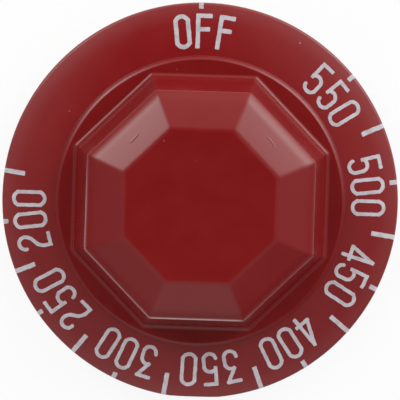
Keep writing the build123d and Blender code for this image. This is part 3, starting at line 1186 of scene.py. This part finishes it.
    def piece(self, name: str, node: str, films: list[Pair], finishes: Finishes) -> bpy.types.Object:
        """One object from several films."""
        counts = np.cumsum([0] + [len(points) for points, _ in films])
        points = np.concatenate([points for points, _ in films])
        triangles = np.concatenate([faces + start for (_, faces), start in zip(films, counts)])
        made = new_object(name, new_mesh(name, points, triangles))
        sharpen(made.data, self.sharp_angle)
        return dress(made, node, finishes.film)

    def build(self, finishes: Finishes) -> list[bpy.types.Object]:
        """Makes and dresses the three stamped pieces."""
        draws = np.random.default_rng(self.seed)
        off = self.word(self.off_word, self.off_angle, self.off_pen, draws)
        numbers = [film for text, angle in self.numbers.items()
                   for film in self.word(text, angle, self.pen, draws)]
        ticks = [self.tick(kind, angle, draws) for kind, angle in self.ticks]
        return [
            self.piece("off_word", "off_label", off, finishes),
            self.piece("scale_numbers", "temperature_numbers", numbers, finishes),
            self.piece("scale_ticks", "tick_marks", ticks, finishes),
        ]


@dataclass(frozen=True)
class Softbox:
    """Soft round patch in the surroundings: its heading, angle from overhead, width and strength.

    A negative strength darkens the surroundings there.
    """

    heading: float
    from_overhead: float
    width: float
    strength: float

    def direction(self) -> tuple[float, float, float]:
        """Unit vector towards the patch's middle, its heading clockwise from +Y."""
        heading, lean = radians(self.heading), radians(self.from_overhead)
        return (sin(lean) * sin(heading), sin(lean) * cos(heading), cos(lean))

    def glow(self, bench: NodeBench, towards: Socket) -> Socket:
        """Brightness of the patch: strength times exp((cos a - 1) / width^2), a the angle from its middle."""
        cosine = bench.vector("DOT_PRODUCT", towards, self.direction())
        sharpness = 1 / radians(self.width) ** 2
        power = bench.math("MULTIPLY", bench.math("SUBTRACT", cosine, 1.0), sharpness)
        return bench.math("MULTIPLY", bench.math("EXPONENT", power), self.strength)


@dataclass(frozen=True)
class Studio:
    """Pale floor, soft surroundings and the camera."""

    sizes: DialSizes
    distance: float = 700.0
    frame_width: float = 57.73
    tilt: float = 3.2
    roll: float = 1.85
    sensor_width: float = 36.0
    clip_range: tuple[float, float] = (0.01, 100.0)
    image_centre: tuple[float, float] = (200.08, 200.82)
    floor_side: float = 12000.0
    floor_colour: Colour = (0.90, 0.90, 0.90)
    floor_roughness: float = 0.9
    floor_glow: float = 0.9
    overhead: float = 0.52
    horizon: float = 0.22
    softboxes: tuple[Softbox, ...] = (
        Softbox(-45.0, 55.5, 10.5, 6.4),
        Softbox(46.0, 67.0, 15.8, 5.7),
        Softbox(182.0, 55.0, 20.0, 0.60),
        Softbox(180.0, 2.0, 9.0, -0.50),
        Softbox(-18.0, 20.0, 10.0, -0.55),
        Softbox(2.0, 76.0, 15.0, 0.55),
        Softbox(140.0, 55.0, 18.0, -0.25),
    )

    def camera(self) -> bpy.types.Object:
        """Long-lens camera over the dial, tilted towards the OFF mark and rolled to the photographed turn."""
        data = bpy.data.cameras.new("camera")
        data.sensor_width = self.sensor_width
        data.lens = data.sensor_width * self.distance / self.frame_width
        data.clip_start, data.clip_end = self.clip_range
        up = Vector((-sin(radians(self.roll)), cos(radians(self.roll)), 0))
        back = up * sin(radians(self.tilt)) + Vector((0, 0, cos(radians(self.tilt))))
        right = up.cross(back).normalized()
        top = back.cross(right)
        pixel = self.frame_width / IMAGE_SIDE
        aim = Vector((0, 0, self.sizes.rim_level))
        aim -= right * (self.image_centre[0] - IMAGE_SIDE / 2) * pixel
        aim += top * (self.image_centre[1] - IMAGE_SIDE / 2) * pixel
        camera = bpy.data.objects.new("camera", data)
        axes = Matrix((right, top, back)).transposed()
        camera.matrix_world = Matrix.Translation((aim + back * self.distance) * MM) @ axes.to_4x4()
        bpy.context.scene.collection.objects.link(camera)
        bpy.context.scene.camera = camera
        return camera

    def floor(self) -> bpy.types.Object:
        """Pale floor under the back rim. Where the eye or a gloss looks at it, most of it is plain white."""
        half = self.floor_side / 2
        corners = np.array([(-half, -half, 0), (half, -half, 0), (half, half, 0), (-half, half, 0)])
        floor = new_object("floor", new_mesh("floor", corners, np.array([[0, 1, 2, 3]])))
        material, bench, shader = new_material("pale_floor")
        shader.inputs["Base Color"].default_value = (*self.floor_colour, 1)
        shader.inputs["Roughness"].default_value = self.floor_roughness
        shader.inputs["Specular IOR Level"].default_value = 0.0
        path = bench.add("LightPath").outputs
        looked_at = bench.math("MAXIMUM", path["Is Camera Ray"], path["Is Glossy Ray"])
        looked_at = bench.math("MAXIMUM", looked_at, path["Is Transmission Ray"])
        white = bench.add("Emission", {"Color": (1, 1, 1, 1), "Strength": 1.0}).outputs[0]
        share = bench.math("MULTIPLY", looked_at, self.floor_glow)
        mixed = bench.add("MixShader", {0: share, 1: shader.outputs[0], 2: white}).outputs[0]
        bench.tree.links.new(mixed, bench.tree.nodes["Material Output"].inputs["Surface"])
        floor.data.materials.append(material)
        return floor

    def surroundings(self) -> bpy.types.World:
        """Dim surroundings, brighter overhead than at the horizon, with the soft patches added."""
        world = bpy.data.worlds.new("studio")
        bpy.context.scene.world = world
        world.use_nodes = True
        bench = NodeBench(world.node_tree)
        towards = bench.vector("NORMALIZE", bench.add("TexCoord").outputs["Generated"])
        light = bench.ramp(bench.part(towards, "Z"), 0.0, 1.0, self.horizon, self.overhead)
        for softbox in self.softboxes:
            light = bench.math("ADD", light, softbox.glow(bench, towards))
        background = world.node_tree.nodes["Background"]
        bench.tree.links.new(light, background.inputs["Strength"])
        background.inputs["Color"].default_value = (1, 1, 1, 1)
        return world

    def build(self) -> None:
        """Sets up the view, the light, the floor and the camera."""
        bpy.context.scene.view_settings.view_transform = "Standard"
        self.surroundings()
        self.floor()
        self.camera()
        log.info("studio: floor, surroundings and camera")


def main() -> None:
    """Builds the studio and the dial's pieces in order."""
    logging.basicConfig(level=logging.INFO, format="%(name)s: %(message)s")
    _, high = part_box("dial_body")
    sizes = DialSizes(dial_radius=high.x / MM, top_level=high.z / MM)
    finishes = Finishes.make()
    Studio(sizes).build()
    spring = ShaftSpring(sizes)
    DialBody(sizes).build(spring, finishes)
    spring.build(finishes)
    StampedScale(sizes).build(finishes)


if __name__ == "__main__":
    main()
